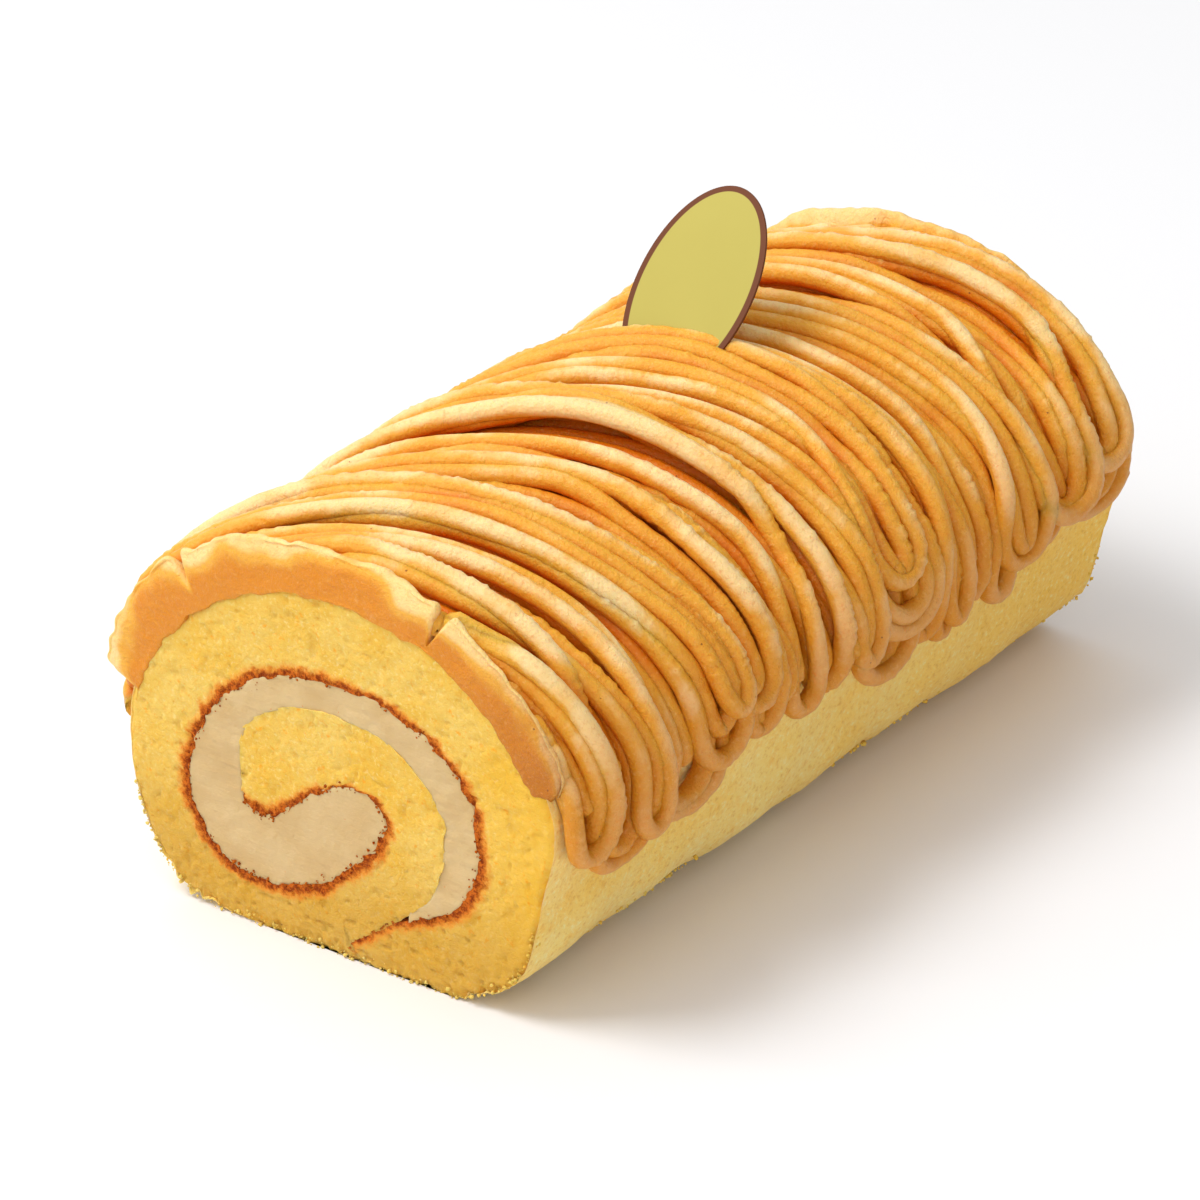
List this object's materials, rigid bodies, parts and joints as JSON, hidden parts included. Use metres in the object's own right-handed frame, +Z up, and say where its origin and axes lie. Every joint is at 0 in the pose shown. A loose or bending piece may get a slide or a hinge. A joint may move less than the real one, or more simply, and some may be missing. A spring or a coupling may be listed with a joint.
{
  "type": "swiss roll cake",
  "caption": "Swiss roll of yellow sponge rolled round a cream filling, sliced at both ends, with piped chestnut cream strands over the top and an oval tag stuck in it.",
  "frame": {"origin": "on the base under the middle of the roll", "axes": "+X along the roll, away from the slice that shows; +Y towards the far side of the roll; +Z up"},
  "size_m": [0.152, 0.0919, 0.0863],
  "materials": {
    "sponge": "matt, fine open crumb",
    "cream_filling": "satin, smooth with faint streaks",
    "chestnut_cream": "satin, slightly grainy paste",
    "name_tag": "smooth printed card"
  },
  "bodies": {
    "root": {"sponge": "sponge", "cream_filling": "cream_filling", "chestnut_cream": "chestnut_cream", "name_tag": "name_tag"}
  },
  "joints": []
}
